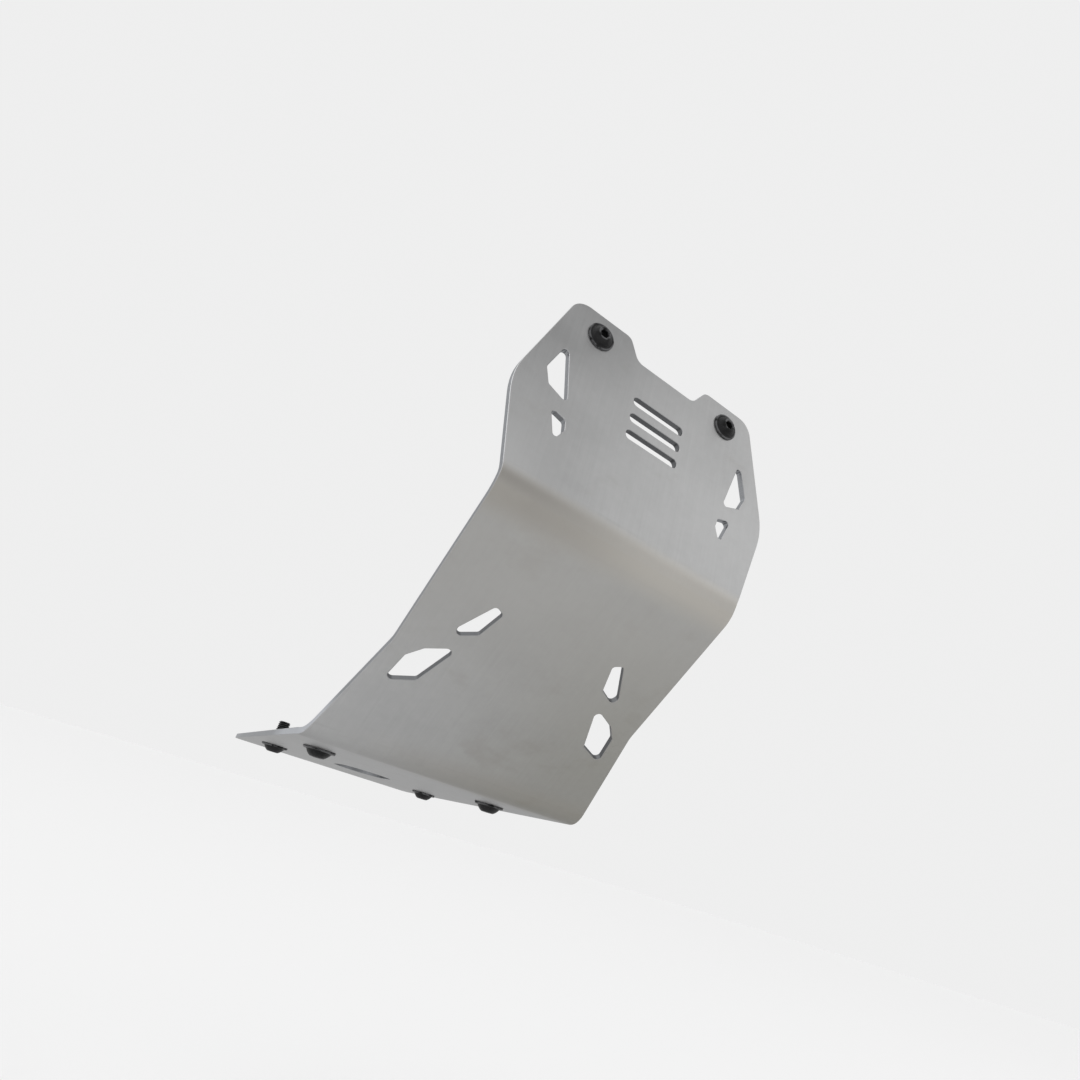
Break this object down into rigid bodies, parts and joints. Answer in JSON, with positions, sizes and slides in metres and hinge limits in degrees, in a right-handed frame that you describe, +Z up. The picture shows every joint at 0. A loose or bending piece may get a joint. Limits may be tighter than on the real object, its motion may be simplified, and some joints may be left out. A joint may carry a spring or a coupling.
{
  "type": "engine guard",
  "caption": "Folded aluminium plate that shields the front and underside of a motorbike engine, with cut windows, vent slots and flanged socket screws.",
  "frame": {"origin": "midway between the two front lower screws, on the inner (upper) face of the bottom panel", "axes": "+X across the guard, -Y towards the front of the vehicle, +Z up, with the bottom panel level as on the vehicle"},
  "size_m": [0.19, 0.4755, 0.261],
  "materials": {
    "brushed_aluminium": "satin, brushed along the sheet",
    "black_screw": "satin black"
  },
  "bodies": {
    "root": {"guard_plate": "brushed_aluminium", "upper_screws": "black_screw", "lower_screws": "black_screw"}
  },
  "joints": []
}
